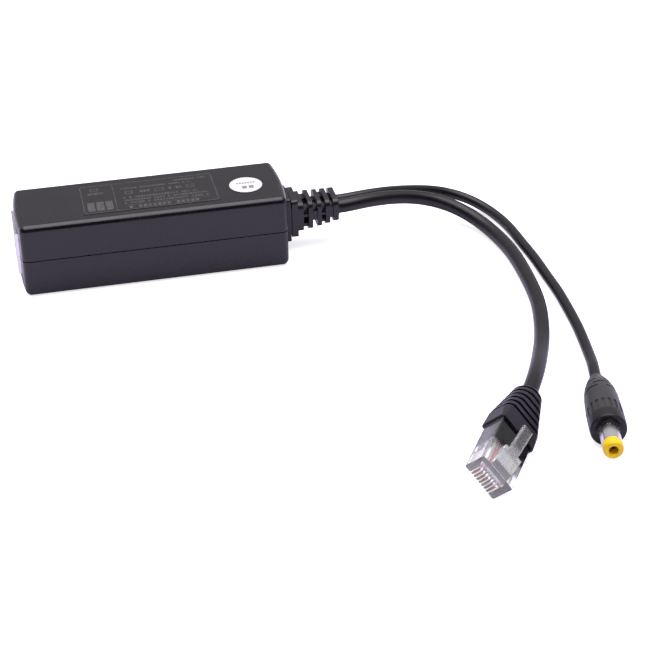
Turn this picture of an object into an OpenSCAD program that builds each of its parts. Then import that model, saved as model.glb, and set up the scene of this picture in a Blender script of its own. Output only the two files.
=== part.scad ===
// PoE splitter: a slim two-shell housing with a network jack in one end and, at the other end,
// a network lead and a low-voltage barrel lead leaving through one ribbed strain relief.
// Millimetres, Z up. The origin lies under the middle of the housing, on the surface it stands on.
// X runs along the housing to the lead end, minus Y is the long side with the seam in view.

/* [Housing] */
// length of the housing between its four upright corners
body_l = 81.4; // [72:0.2:100]
// how far each end wall bulges beyond those corners
end_bulge = 1.0; // [0.6:0.1:2]
// width of the housing
body_w = 27.5; // [26:0.5:34]
// height of the housing
body_h = 23.7; // [23:0.1:30]
// thickness of the shell walls
wall = 1.8; // [1.4:0.1:2.2]
// rounding of the long top and bottom edges
edge_r = 2.0; // [1:0.1:2.6]
// rounding of the upright corners
corner_r = 2.0; // [1.2:0.1:2.4]
// height of the seam between the two shells
seam_z = 12.1; // [11.5:0.1:12.5]
// width of the fine groove along the seam
seam_groove = 0.3; // [0.2:0.05:0.5]
// depth of that groove
seam_depth = 0.25; // [0.15:0.05:0.4]
// height of the locating tongue inside the seam
tongue_h = 1.0; // [0.6:0.1:1.5]
// thickness of the locating tongue
tongue_t = 0.8; // [0.6:0.1:0.9]

/* [Label] */
// distance from each end of the housing to the rating label
label_margin = 19.7; // [17:0.1:25]
// width of the rating label
label_w = 19.0; // [12:0.5:21]
// thickness of the label film
label_t = 0.12; // [0.08:0.02:0.2]
// diameter of the round inspection sticker
sticker_d = 10.4; // [6:0.2:12]
// distance of the sticker's centre from the lead end of the housing
sticker_inset = 10.7; // [9:0.1:13]
// centre of the sticker across the housing
sticker_y = -1.7; // [-4:0.1:4]

/* [Network jack] */
// width of the jack
jack_w = 16.0; // [15.5:0.1:16.5]
// gap between the top of the jack and the top wall
jack_headroom = 2.8; // [2.4:0.1:3.2]
// depth of the jack from its face
jack_d = 18.5; // [17:0.5:21]
// how far the jack face stands proud of the end wall
jack_proud = 0.6; // [0:0.1:1]
// width of the plug opening
jack_open_w = 11.9; // [11.8:0.05:12.1]
// height of the jack above and below its plug opening together
jack_rim = 5.5; // [5.3:0.1:6]
// depth of the plug opening
jack_open_d = 12.0; // [11:0.5:13]
// thickness of the shield sheet
shield_t = 0.3; // [0.2:0.05:0.4]
// width of a jack contact
jack_pin_w = 0.45; // [0.35:0.05:0.5]

/* [Board] */
// height of the board underside
board_z = 4.0; // [3.4:0.1:4.4]
// board thickness
board_t = 1.6; // [1.2:0.2:1.6]
// gap between the board and each side wall
board_clear = 0.45; // [0.3:0.05:0.6]

/* [Strain relief] */
// width of the strain relief across the housing
relief_w = 11.2; // [11:0.1:13]
// height of the plate against the housing
plate_h = 14.9; // [13.5:0.1:16]
// height of the collar after the plate
collar_h = 12.9; // [11:0.1:13.4]
// height of the first rib
rib_h_first = 9.5; // [8.8:0.1:10]
// height of the last rib
rib_h_last = 7.7; // [7:0.1:8.6]
// rounding of the rib corners
rib_r = 2.0; // [1:0.1:3]
// centre of the strain relief across the housing
relief_y = 0.7; // [0.5:0.1:0.9]

/* [Leads] */
// diameter of the network lead
net_d = 4.5; // [4:0.1:4.6]
// diameter of the barrel lead
dc_d = 3.2; // [2.8:0.1:3.3]
// height of both leads where they leave the strain relief
lead_z = 12.3; // [12.2:0.1:12.4]

/* [Network plug] */
// width of the plug body
plug_w = 11.68; // [11.6:0.02:11.7]
// height of the plug body without its latch
plug_h = 6.6; // [6.5:0.05:6.7]
// length of the plug body
plug_l = 21.5; // [21:0.1:22]
// spacing of the eight contacts
contact_pitch = 1.02; // [1:0.01:1.04]
// thickness of a contact blade
contact_t = 0.35; // [0.3:0.05:0.4]
// width of the latch tab
latch_w = 3.2; // [3:0.05:3.3]
// width of the latch at its root
latch_root_w = 6.1; // [5.6:0.1:6.2]
// height of the latch tab tip above the plug body
latch_rise = 4.7; // [4:0.1:5.2]
// length of the boot on the lead behind the plug
boot_l = 20.3; // [18:0.1:22]
// rib grooves around the boot
boot_grooves = 6; // [3:1:6]

/* [Barrel plug] */
// diameter of the barrel sleeve
barrel_d = 5.5; // [5.5:0.1:5.5]
// length of the barrel from the handle face
barrel_l = 10.2; // [9.5:0.1:11]
// bore of the barrel
barrel_bore = 2.5; // [2.1:0.1:2.5]
// length of the insulating nose on the barrel
nose_l = 2.8; // [2:0.1:4]
// largest diameter of the handle
handle_d = 10.0; // [9.6:0.1:11]
// length of the handle
handle_l = 27.5; // [25:0.5:30]
// grip grooves around the handle
grip_grooves = 18; // [12:1:20]

/* [Hidden] */
$fn = 48;
half_l = body_l / 2;
label_l = body_l - 2 * label_margin;
half_w = body_w / 2;
end_r = (end_bulge * end_bulge + half_w * half_w) / (2 * end_bulge);
end_cx = half_l + end_bulge - end_r;
round_d = end_r - corner_r;
corner_y = half_w - corner_r;
corner_cx = end_cx + sqrt(round_d * round_d - corner_y * corner_y);
tangent_y = end_r * corner_y / round_d;
corner_out = 0.02;
in_half_l = half_l - wall;
in_half_w = half_w - wall;
in_top = body_h - wall;
in_r = 0.8;
tongue_clear = 0.1;
eps = 0.01;
board_w = 2 * in_half_w - 2 * board_clear;
// the housing stands back by half of the jack's overhang, so that the origin is central
shift_x = jack_proud / 2;

// jack and board
board_top = board_z + board_t;
face_x = -(half_l + end_bulge + jack_proud);
board_x0 = -in_half_l + 0.4;
board_x1 = in_half_l - 2.9;
jack_h = in_top - board_top - jack_headroom;
jack_open_h = jack_h - jack_rim;
jack_mid = board_top + jack_h / 2 - 0.25;
jack_z0 = jack_mid - jack_open_h / 2;
jack_z1 = jack_mid + jack_open_h / 2;
key_w = 6.1;
key_h = 1.7;
pin_x = face_x + jack_d - 4.7;
pin_t = 0.35;
pin_top = jack_z1 + 1.2;
cut_clear = 0.15;

// shares by which the components follow the length, width and height inside the housing
ux = in_half_l / 38.9;
uy = in_half_w / 11.95;
uz = (in_top - board_top) / 16.3;
ud = min(ux, uy);

// strain relief stations along X, from the inside of the end wall outwards
wall_out = half_l + end_bulge;
inner_t = 1.5;
neck_w = 10.6;
neck_h = 7.4;
relief_z = 11.5;
inner_x = in_half_l - 0.1 - inner_t;
plate_t = 1.65;
plate_x = wall_out + 0.05;
slit_t = 0.35;
collar_x = plate_x + plate_t + slit_t;
collar_t = 2.0;
step_x = collar_x + collar_t;
step_t = 1.75;
rib_x = [for (x = [7.4, 10.3, 12.9, 15.4]) wall_out + x];
rib_t = [1.4, 1.35, 1.45, 1.7];
rib_zc = [11.6, 11.8, 12.1, 12.4];
relief_end = wall_out + 17.6;
net_y = -1.2;
dc_y = 3.5;
bore_clear = 0.04;
jacket_x = in_half_l - 3.5;
// both leads and their plugs follow the end wall
end_shift = wall_out - 41.7;

// the network plug lies on one long edge with its latch turned up
plug_pos = [66.1 + end_shift, -144.9, 6.8];
plug_yaw = -122.5;
plug_tilt = -1.3;
plug_roll = 49.3;
// the barrel plug lies on the swell of its handle
dc_pos = [103.3 + end_shift, -130.6, 5.6];
dc_yaw = -102.7;
dc_tilt = 3.2;
hull_fn = 32;

// cavity behind the plug face, filled by the tongue of the boot
tongue_x = -10.5;
tongue_w = 9.4;
tongue_z = 4.7;
boot_front = -17.9;
boot_wall = 0.7;
boot_end = boot_front - boot_l;
groove_pitch = 2.5;
groove_w = 1.1;
groove_x = -23.7;
groove_depth = 0.8;
boot_d = 8.6;

// barrel plug stations along its axis, the handle face at zero and the tip at plus
sleeve_back = -6;
jacket_back = -10;
sleeve_t = 0.45;
flange_d = barrel_d + 0.4;
collar_r = 3.4;
collar_l = 0.9;
bore_wall = 0.3;
tip_l = 3.0;

function deg_dir(yaw, tilt) = [cos(yaw) * cos(tilt), sin(yaw) * cos(tilt), sin(tilt)];
plug_dir = deg_dir(plug_yaw, plug_tilt);
dc_dir = deg_dir(dc_yaw, dc_tilt);

// routes of the two leads, the free points chosen by hand
net_free = [
  [66.0, -0.5, 12.5], [75.5, 2.5, 11.6], [86.5, 5.5, 9.1], [97.0, 4.0, 6.1],
  [104.5, -4.0, 3.4], [108.0, -14.0, 2.3], [109.5, -25.0, 2.3], [109.5, -35.5, 2.3],
  [109.0, -46.0, 2.3], [108.0, -57.0, 2.3], [105.5, -67.5, 2.3], [102.5, -77.5, 2.3],
  [98.5, -87.5, 3.8], [94.5, -97.5, 6.3], [91.0, -105.0, 7.6]
];
dc_free = [
  [67.0, 4.0, 12.5], [77.0, 6.7, 11.6], [86.5, 10.5, 9.0], [96.5, 14.0, 5.9],
  [106.5, 11.0, 3.0], [112.0, 1.0, 1.7], [114.0, -9.5, 1.7], [114.5, -20.0, 1.7],
  [115.5, -30.5, 1.7], [115.5, -41.0, 1.7], [116.0, -51.5, 1.7], [115.5, -62.0, 1.7],
  [115.0, -73.0, 1.7], [113.5, -84.5, 1.7], [112.0, -93.0, 2.8], [111.0, -97.0, 3.6]
];
head_x = [jacket_x - 7.6, jacket_x, jacket_x + 7.6, wall_out + 8.8, wall_out + 15.8, wall_out + 20.3];
function head_pts(y) = [for (x = head_x) [x, y, lead_z]];
function shifted(p) = [for (q = p) q + [end_shift, 0, 0]];
net_tail = [for (x = [-42, -34, -26, -18, tongue_x, -3]) plug_pos + plug_dir * x];
dc_tail = [for (x = [-31, -24, -17, jacket_back, -3]) dc_pos + dc_dir * x];
net_pts = concat(head_pts(net_y), shifted(net_free), net_tail);
dc_pts = concat(head_pts(dc_y), shifted(dc_free), dc_tail);

// a uniform cubic spline through a list of guide points
function spline_at(p, i, t) =
  ((1 - t) * (1 - t) * (1 - t) * p[i]
  + (3 * t * t * t - 6 * t * t + 4) * p[i + 1]
  + (-3 * t * t * t + 3 * t * t + 3 * t + 1) * p[i + 2]
  + t * t * t * p[i + 3]) / 6;
function spline(p, n) = [
  for (i = [0 : len(p) - 4])
    for (k = [0 : n - 1 + (i == len(p) - 4 ? 1 : 0)])
      spline_at(p, i, k / n)
];
function unit(v) = v / norm(v);
function heading(p, i) = unit(p[min(i + 1, len(p) - 1)] - p[max(i - 1, 0)]);
function ring(c, d, s, r, n) = [
  for (k = [0 : n - 1]) c + r * (cos(360 * k / n) * s + sin(360 * k / n) * cross(d, s))
];
function tube_points(p, r, n, ref) = [
  for (i = [0 : len(p) - 1])
    each ring(p[i], heading(p, i), unit(cross(ref, heading(p, i))), r, n)
];
function tube_faces(m, n) = concat(
  [[for (k = [0 : n - 1]) k]],
  [[for (k = [n - 1 : -1 : 0]) (m - 1) * n + k]],
  [for (i = [0 : m - 2]) for (k = [0 : n - 1])
    [i * n + k, (i + 1) * n + k, (i + 1) * n + (k + 1) % n]],
  [for (i = [0 : m - 2]) for (k = [0 : n - 1])
    [i * n + k, (i + 1) * n + (k + 1) % n, i * n + (k + 1) % n]]
);

// outline of a strip of even width along a list of flat points
function turn(v) = [-v[1], v[0]];
function edge_dir(p, i) = let (v = p[i + 1] - p[i]) v / norm(v);
function strip_side(p, i, w) =
  i == 0 ? p[0] + turn(edge_dir(p, 0)) * w
  : i == len(p) - 1 ? p[i] + turn(edge_dir(p, i - 1)) * w
  : let (a = turn(edge_dir(p, i - 1)), b = turn(edge_dir(p, i)))
    p[i] + (a + b) * w / (1 + a * b);
function strip(p, w) = concat(
  [for (i = [0 : len(p) - 1]) strip_side(p, i, w / 2)],
  [for (i = [len(p) - 1 : -1 : 0]) strip_side(p, i, -w / 2)]
);

// shared shapes
module placed() {
  translate([shift_x, 0, 0]) children();
}

module rounded_rect(w, h, r) {
  square([w - 2 * r, h], center = true);
  square([w, h - 2 * r], center = true);
  for (sx = [-1, 1])
    for (sy = [-1, 1])
      translate([sx * (w / 2 - r), sy * (h / 2 - r)]) circle(r);
}

// a slab with a Y by Z outline, standing across the X axis
module cross_slab(x, t, w, h, r, y, z) {
  translate([x, y, z])
    rotate([90, 0, 90])
      linear_extrude(t) rounded_rect(w, h, r);
}

module block(x0, x1, y0, y1, z0, z1) {
  translate([x0, y0, z0]) cube([x1 - x0, y1 - y0, z1 - z0]);
}

// outline of the housing seen from above
module plan(inset = 0) {
  w = half_w - inset;
  intersection() {
    translate([end_cx, 0]) circle(end_r - inset, $fn = 360);
    translate([-end_cx, 0]) circle(end_r - inset, $fn = 360);
    square([body_l + 4 * end_bulge, 2 * (tangent_y - inset)], center = true);
  }
  square([2 * corner_cx, 2 * w], center = true);
  for (sx = [-1, 1])
    for (sy = [-1, 1])
      translate([sx * corner_cx, sy * corner_y]) circle(corner_r - inset);
}

// a disc as high as the housing whose rim gives an end wall with rounded edges
module end_disc() {
  rotate_extrude($fn = 360) {
    square([end_r - edge_r, body_h]);
    translate([0, edge_r]) square([end_r, body_h - 2 * edge_r]);
    translate([end_r - edge_r, edge_r]) circle(edge_r);
    translate([end_r - edge_r, body_h - edge_r]) circle(edge_r);
  }
}

// an upright post with ball ends, one for each corner of the housing
module corner_post() {
  rotate_extrude()
    intersection() {
      union() {
        translate([0, corner_r - corner_out]) circle(corner_r);
        translate([0, body_h - corner_r + corner_out]) circle(corner_r);
        translate([-corner_r, corner_r - corner_out])
          square([2 * corner_r, body_h - 2 * corner_r + 2 * corner_out]);
      }
      translate([0, -1]) square([corner_r + 1, body_h + 2]);
    }
}

// a cross of two blocks whose corners are filled by the posts, each a hair proud of the walls
module corner_form() {
  translate([0, 0, body_h / 2]) {
    cube([2 * corner_cx, body_w + 2, body_h + 2], center = true);
    cube([body_l + 4 * end_bulge, 2 * corner_y, body_h + 2], center = true);
  }
  for (sx = [-1, 1])
    for (sy = [-1, 1])
      translate([sx * (corner_cx + corner_out), sy * (corner_y + corner_out), 0]) corner_post();
}

module housing_form() {
  intersection() {
    intersection() {
      cross_slab(-wall_out - 1, 2 * wall_out + 2, body_w, body_h, edge_r, 0, body_h / 2);
      translate([end_cx, 0, 0]) end_disc();
      translate([-end_cx, 0, 0]) end_disc();
    }
    corner_form();
  }
}

module cavity_plan(grow = 0) {
  rounded_rect(2 * (in_half_l + grow), 2 * (in_half_w + grow), in_r);
}

module seam_cut() {
  translate([0, 0, seam_z - seam_groove / 2])
    linear_extrude(seam_groove)
      difference() {
        square([body_l + 20, body_w + 20], center = true);
        plan(seam_depth);
      }
}

module end_cuts() {
  block(face_x - 1, -in_half_l + 1, -jack_w / 2 - cut_clear, jack_w / 2 + cut_clear,
    board_top - cut_clear, board_top + jack_h + cut_clear);
  block(in_half_l - 1, wall_out + 1, relief_y - neck_w / 2, relief_y + neck_w / 2,
    relief_z - neck_h / 2, relief_z + neck_h / 2);
}

post_x = [-in_half_l + 2.9, -12.4 * ux, in_half_l - 8.5];
module board_posts(z0, z1, reach) {
  for (x = post_x)
    for (sy = [-1, 1])
      translate([x, sy * (in_half_w - reach / 2 + eps), (z0 + z1) / 2])
        cube([1.2, reach, z1 - z0], center = true);
}

module bottom_shell() {
  color([0.06, 0.055, 0.065])
    placed()
      difference() {
        union() {
          difference() {
            intersection() {
              housing_form();
              translate([0, 0, seam_z / 2])
                cube([body_l + 20, body_w + 20, seam_z], center = true);
            }
            translate([0, 0, wall]) linear_extrude(body_h) cavity_plan();
          }
          translate([0, 0, seam_z - 2])
            linear_extrude(2 + tongue_h)
              difference() {
                cavity_plan(tongue_t);
                cavity_plan();
              }
          board_posts(wall - eps, board_z, 1.8);
        }
        seam_cut();
        end_cuts();
      }
}

module top_shell() {
  color([0.065, 0.06, 0.07])
    placed()
      difference() {
        union() {
          difference() {
            intersection() {
              housing_form();
              translate([0, 0, seam_z + body_h / 2])
                cube([body_l + 20, body_w + 20, body_h], center = true);
            }
            translate([0, 0, -1]) linear_extrude(in_top + 1) cavity_plan();
          }
          board_posts(board_top + 8 * uz, in_top + eps, 1.0);
        }
        translate([0, 0, seam_z - 1])
          linear_extrude(1 + tongue_h + tongue_clear)
            difference() {
              cavity_plan(tongue_t + tongue_clear);
              cavity_plan(-eps);
            }
        seam_cut();
        end_cuts();
      }
}

module rating_label() {
  color([0.1, 0.1, 0.11])
    placed()
      translate([0, 0, body_h]) linear_extrude(label_t) rounded_rect(label_l, label_w, 0.6);
}

module inspection_sticker() {
  color([0.93, 0.92, 0.93])
    placed()
      translate([half_l - sticker_inset, sticker_y, body_h]) cylinder(d = sticker_d, h = label_t);
}

function pin_y(i) = (i - 3.5) * contact_pitch;
pad_y = [for (i = [0 : 3]) net_y + (i - 1.5) * 1.7];
wire_low_x = jacket_x - 2.5;
wire_high_x = jacket_x - 4.2;
power_pad = [6.2 * uy, 8.6 * uy];
power_x = [wire_low_x, wire_high_x];

module board_holes() {
  for (i = [0 : 7])
    translate([pin_x, pin_y(i), board_z - 1]) cylinder(d = 0.75, h = board_t + 2);
  for (y = pad_y) {
    translate([wire_low_x, y, board_z - 1]) cylinder(d = 1.0, h = board_t + 2);
    translate([wire_high_x, y, board_z - 1]) cylinder(d = 1.0, h = board_t + 2);
  }
  for (i = [0, 1])
    translate([power_x[i], power_pad[i], board_z - 1]) cylinder(d = 1.3, h = board_t + 2);
  for (sy = [-1, 1])
    translate([face_x + 9, sy * (jack_w / 2 - shield_t / 2), board_z - 1])
      cylinder(d = 1.8, h = board_t + 2);
}

module circuit_board() {
  color([0.05, 0.3, 0.14])
    placed()
      difference() {
        block(board_x0, board_x1, -board_w / 2, board_w / 2, board_z, board_top);
        board_holes();
      }
}

module jack_opening(grow, x1) {
  block(face_x - 1, x1, -jack_open_w / 2 - grow, jack_open_w / 2 + grow,
    jack_z0 - grow, jack_z1 + grow);
  block(face_x - 1, x1, -key_w / 2 - grow, key_w / 2 + grow,
    jack_z0 - key_h - grow, jack_z0 + eps);
}

module jack_shield() {
  color([0.72, 0.72, 0.7])
    placed() {
      difference() {
        block(face_x, face_x + jack_d, -jack_w / 2, jack_w / 2, board_top, board_top + jack_h);
        block(face_x + shield_t, face_x + jack_d - shield_t, -jack_w / 2 + shield_t,
          jack_w / 2 - shield_t, board_top - 1, board_top + jack_h - shield_t);
        jack_opening(0.1, face_x + 1);
      }
      for (sy = [-1, 1])
        translate([face_x + 9, sy * (jack_w / 2 - shield_t / 2), board_z + 0.9])
          cube([1.2, shield_t, 2 * (board_top - board_z - 0.9) + 1], center = true);
    }
}

pin_route = [
  [pin_x, board_z - 0.9], [pin_x, pin_top], [face_x + 1.1, pin_top],
  [face_x + 1.1, pin_top - 1.1], [face_x + 9, jack_z1 - 3.6]
];

module jack_insulator() {
  gap = 0.03;
  color([0.05, 0.05, 0.055])
    placed()
      difference() {
        block(face_x + shield_t, pin_x + 2.2, -jack_w / 2 + shield_t + gap,
          jack_w / 2 - shield_t - gap, board_top, board_top + jack_h - shield_t - gap);
        jack_opening(0, face_x + jack_open_d);
        for (i = [0 : 7]) {
          block(face_x + 0.75, pin_x + 0.45, pin_y(i) - 0.33, pin_y(i) + 0.33,
            jack_z1 - eps, pin_top + 0.4);
          block(pin_x - 0.45, pin_x + 0.45, pin_y(i) - 0.33, pin_y(i) + 0.33,
            board_top - 1, pin_top + 0.4);
        }
      }
}

module jack_contacts() {
  color([0.83, 0.66, 0.28])
    placed()
      for (i = [0 : 7])
        translate([0, pin_y(i) + jack_pin_w / 2, 0])
          rotate([90, 0, 0])
            linear_extrude(jack_pin_w) polygon(strip(pin_route, pin_t));
}

// a moulded chip with flat leads along both of its X sides, centred on x, y
module chip(x, y, l, w, h, pins, pitch, lead_w, lead_l) {
  translate([x, y, board_top]) {
    translate([-l / 2, -w / 2, 0.1]) cube([l, w, h - 0.1]);
    for (i = [0 : pins - 1])
      for (sx = [-1, 1])
        translate([sx * (l / 2 + lead_l / 2 - 0.1), (i - (pins - 1) / 2) * pitch, 0.15])
          cube([lead_l + 0.2, lead_w, 0.3], center = true);
  }
}

module lan_transformer() {
  color([0.04, 0.04, 0.045])
    placed() chip(-17.2 * ux, 0, 7.1 * ux, 12.7 * uy, 5.7 * uz, 8, 1.27 * uy, 0.5, 0.9 * ux);
}

module bridge_rectifiers() {
  color([0.05, 0.05, 0.05])
    placed()
      for (sy = [-1, 1])
        chip(-9.6 * ux, sy * 7.4 * uy, 3.9 * ux, 4.7 * uy, 2.5 * uz, 2, 2.54 * uy, 0.7, 1.1 * ux);
}

module controller_chip() {
  color([0.05, 0.05, 0.055])
    placed() chip(-9.6 * ux, 0, 3.9 * ux, 4.9 * uy, 1.6 * uz, 4, 1.27 * uy, 0.45, 1.0 * ux);
}

module switching_transistor() {
  color([0.05, 0.05, 0.055])
    placed() chip(-2.4 * ux, -0.3 * uy, 3.9 * ux, 4.9 * uy, 1.6 * uz, 4, 1.27 * uy, 0.45, 0.9 * ux);
}

// an upright can with a crimp groove near its foot
module can(x, y, d, h) {
  translate([x, y, board_top])
    rotate_extrude()
      polygon([
        [0, 0], [d / 2 - 0.2, 0], [d / 2, 0.3], [d / 2, 1.2], [d / 2 - 0.35, 1.5],
        [d / 2, 1.8], [d / 2, h - 0.5], [d / 2 - 0.5, h], [0, h]
      ]);
}

module input_capacitor() {
  color([0.1, 0.1, 0.35]) placed() can(-2.0 * ux, 6.9 * uy, 8 * ud, 11.5 * uz);
}

module input_choke() {
  color([0.08, 0.08, 0.08])
    placed() translate([-2.6 * ux, -6.6 * uy, board_top]) cylinder(d = 6.5 * ud, h = 7.5 * uz);
}

core_x = 9.4 * ux;
core_l = 14 * ux;
core_w = 5 * uy;
core_z0 = board_top + 1.6 * uz;
core_z1 = in_top - 2.7 * uz;
core_yoke = 2.5 * uz;
core_limb = 2.5 * ux;
leg_d = 4.4 * ud;
former_t = 0.8;
former_r = 2.95 * ud;
winding_r = 4.2 * ud;
former_x = 4.2 * ux;
module transformer_core() {
  color([0.12, 0.115, 0.11])
    placed() {
      difference() {
        block(core_x - core_l / 2, core_x + core_l / 2, -core_w / 2, core_w / 2, core_z0, core_z1);
        block(core_x - core_l / 2 + core_limb, core_x + core_l / 2 - core_limb,
          -core_w, core_w, core_z0 + core_yoke, core_z1 - core_yoke);
      }
      translate([core_x, 0, core_z0 + 1]) cylinder(d = leg_d, h = core_z1 - core_z0 - 2);
    }
}

module transformer_bobbin() {
  z0 = core_z0 + core_yoke + 0.05;
  z1 = core_z1 - core_yoke - 0.05;
  color([0.1, 0.09, 0.08])
    placed()
      difference() {
        union() {
          block(core_x - former_x, core_x + former_x, -6.5 * uy, 6.5 * uy, z0, z0 + former_t);
          block(core_x - former_x, core_x + former_x, -6.0 * uy, 6.0 * uy, z1 - former_t, z1);
          translate([core_x, 0, z0]) cylinder(r = former_r, h = z1 - z0);
          for (sy = [-1, 1])
            translate([core_x, sy * 4.85 * uy, (board_top + z0 + eps) / 2])
              cube([2 * former_x, 3.3 * uy, z0 + eps - board_top], center = true);
        }
        translate([core_x, 0, core_z0]) cylinder(d = leg_d + 0.1, h = core_z1 - core_z0);
      }
}

module transformer_winding() {
  z0 = core_z0 + core_yoke + 0.05 + former_t;
  z1 = core_z1 - core_yoke - 0.05 - former_t;
  color([0.85, 0.7, 0.15])
    placed()
      translate([core_x, 0, z0])
        difference() {
          cylinder(r = winding_r, h = z1 - z0);
          translate([0, 0, -1]) cylinder(r = former_r, h = z1 - z0 + 2);
        }
}

module optocoupler() {
  color([0.85, 0.85, 0.82])
    placed()
      translate([19.2 * ux, 0, 0])
        rotate([0, 0, 90]) chip(0, 0, 6.4 * uy, 4.6 * ux, 3.4 * uz, 2, 2.54 * ux, 0.6, 0.9 * uy);
}

module output_diode() {
  color([0.06, 0.06, 0.06])
    placed() chip(19.6 * ux, 8.3 * uy, 4.3 * ux, 3.6 * uy, 2.3 * uz, 1, 1, 2.0 * uy, 0.7 * ux);
}

module output_capacitors() {
  color([0.12, 0.12, 0.14])
    placed() {
      can(25.6 * ux, 7.7 * uy, 6.3 * ud, 11 * uz);
      can(25.6 * ux, -7.6 * uy, 6.3 * ud, 11 * uz);
    }
}

module output_choke() {
  color([0.07, 0.07, 0.07])
    placed() translate([25.6 * ux, 0.05, board_top]) cylinder(d = 7 * ud, h = 8 * uz);
}

module chip_capacitors() {
  color([0.62, 0.48, 0.32])
    placed()
      for (p = [[-14.0, 9.0], [-22.0, 9.0], [17.6, -9.4], [-6.4, -10.6], [2.2, -9.6], [4.2, 9.6]])
        translate([p[0] * ux, p[1] * uy, board_top + 0.45])
          cube([1.25 * ux, 2.0 * uy, 0.9], center = true);
}

module chip_resistors() {
  color([0.07, 0.07, 0.08])
    placed()
      for (p = [[-14.0, -9.0], [-22.0, -9.0], [20.4, -9.4], [15.2, -9.4], [6.8, -9.6], [7.0, 9.6]])
        translate([p[0] * ux, p[1] * uy, board_top + 0.25])
          cube([1.25 * ux, 2.0 * uy, 0.5], center = true);
}

// a round tube through a list of points, none of which may run along ref
module swept(p, r, n, ref = [0, 0, 1]) {
  polyhedron(tube_points(p, r, n, ref), tube_faces(len(p), n));
}

wire_sides = 8;
function wire_route(y0, z0, xp, yp) = [
  [jacket_x, y0, z0], [jacket_x - 0.9, y0, z0], [xp + 0.45, yp, z0 - 0.9],
  [xp, yp, z0 - 2.0], [xp, yp, board_top + 0.8], [xp, yp, board_z - 0.7]
];

module data_wires() {
  r = 0.42;
  color([0.8, 0.45, 0.2])
    placed()
      for (i = [0 : 3]) {
        swept(wire_route(net_y + (i - 1.5) * 0.95, lead_z - 0.75, wire_low_x, pad_y[i]),
          r, wire_sides, [0, 1, 0]);
        swept(wire_route(net_y + (i - 1.5) * 0.95, lead_z + 0.75, wire_high_x, pad_y[i]),
          r, wire_sides, [0, 1, 0]);
      }
}

module power_wires() {
  r = 0.55;
  color([0.7, 0.08, 0.06])
    placed()
      for (i = [0, 1])
        swept(wire_route(dc_y, lead_z + (i - 0.5) * 1.3, power_x[i], power_pad[i]),
          r, wire_sides, [0, 1, 0]);
}

module relief_bores(grow) {
  for (b = [[net_y, net_d], [dc_y, dc_d]])
    translate([inner_x - 1, b[0], lead_z])
      rotate([0, 90, 0]) cylinder(d = b[1] + grow, h = relief_end - inner_x + 2);
}

// what holds the ribs together in one gap, as a list of y and z limits
module relief_gap(x0, x1, webs) {
  for (w = webs)
    block(x0 - 0.3, x1 + 0.3, w[0], w[1], w[2], w[3]);
}

module strain_relief() {
  back = relief_y + relief_w / 2;
  front = relief_y - relief_w / 2;
  middle = [1.1, 1.7, 10.0, 14.2];
  gap_x = [step_x + step_t, rib_x[0] + rib_t[0], rib_x[1] + rib_t[1], rib_x[2] + rib_t[2]];
  color([0.05, 0.05, 0.055])
    placed()
      difference() {
        union() {
          cross_slab(inner_x, inner_t, neck_w + 2, neck_h + 2, 0.8, relief_y, relief_z);
          block(inner_x + inner_t - eps, collar_x + eps, relief_y - neck_w / 2 + 0.05,
            relief_y + neck_w / 2 - 0.05, relief_z - neck_h / 2 + 0.05, relief_z + neck_h / 2 - 0.05);
          cross_slab(plate_x, plate_t, relief_w, plate_h, 0.8, relief_y, 10.9);
          cross_slab(collar_x, collar_t, relief_w, collar_h, 1.2, relief_y, 11.2);
          cross_slab(step_x - eps, step_t + eps, relief_w, rib_h_first + 0.4, rib_r, relief_y, 11.35);
          // the first and third gaps are closed below, with a thin web across the front
          for (g = [[0, 7.6, 8.8], [2, 8.6, 9.6]])
            relief_gap(gap_x[g[0]], rib_x[g[0]], [
              [back - 2.9, back - 0.5, 10.4, 14.6], middle, [front + 1.6, back - 1.6, g[1], g[2]],
              [front + 0.5, front + 1.7, 11.5, 12.3], [1.6, 4.0, 14.3, 15.1]
            ]);
          // the second and fourth are open below, with a broad web across the front
          for (g = [[1, 1.1, 13.6, 10.1, 13.0], [3, 0.9, 14.0, 10.4, 13.9]])
            relief_gap(gap_x[g[0]], rib_x[g[0]], [
              [back - 2.9, back - g[1], 10.4, g[2]], middle, [front + 0.5, front + 1.9, g[3], g[4]]
            ]);
          // a short lug on the near side of the first three gaps
          for (i = [0 : 2])
            block(gap_x[i] - 0.3, (gap_x[i] + rib_x[i]) / 2, front + 0.3, front + 1.5, 14.0, 15.4);
          for (i = [0 : 3])
            let (h = rib_h_first + (rib_h_last - rib_h_first) * i / 3)
              cross_slab(rib_x[i], rib_t[i], relief_w, h, rib_r, relief_y, rib_zc[i]);
          cross_slab(rib_x[3] + 1, relief_end - rib_x[3] - 1, relief_w - 1.8, 5.2, 2.4,
            relief_y + 0.2, 12.3);
        }
        relief_bores(bore_clear);
      }
}

// a lead from inside the housing to its plug, cut square at both ends
module lead(pts, d, sides, steps) {
  placed() swept(spline(pts, steps), d / 2, sides);
}

module ethernet_lead() {
  color([0.05, 0.05, 0.055]) lead(net_pts, net_d, 10, 2);
}

module dc_lead() {
  color([0.05, 0.05, 0.055]) lead(dc_pts, dc_d, 8, 2);
}

// local frame of the network plug: X to the tip, Z to the latch, face at zero
module at_plug() {
  placed()
    translate(plug_pos)
      rotate([0, 0, plug_yaw])
        rotate([0, -plug_tilt, 0])
          rotate([-plug_roll, 0, 0]) children();
}

module boot_section(x, t, w, h, r) {
  cross_slab(x, t, w, h, r, 0, 0, $fn = hull_fn);
}

module boot_outer(less) {
  hull() {
    boot_section(groove_x + 0.6, 0.1, plug_w + 2 * boot_wall - 2 * less, plug_h + 2.2 - 2 * less, 2.0);
    boot_section(boot_end + 1.6, 0.1, boot_d - 2 * less, boot_d - 2 * less, boot_d / 2 - less - eps);
  }
}

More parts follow.
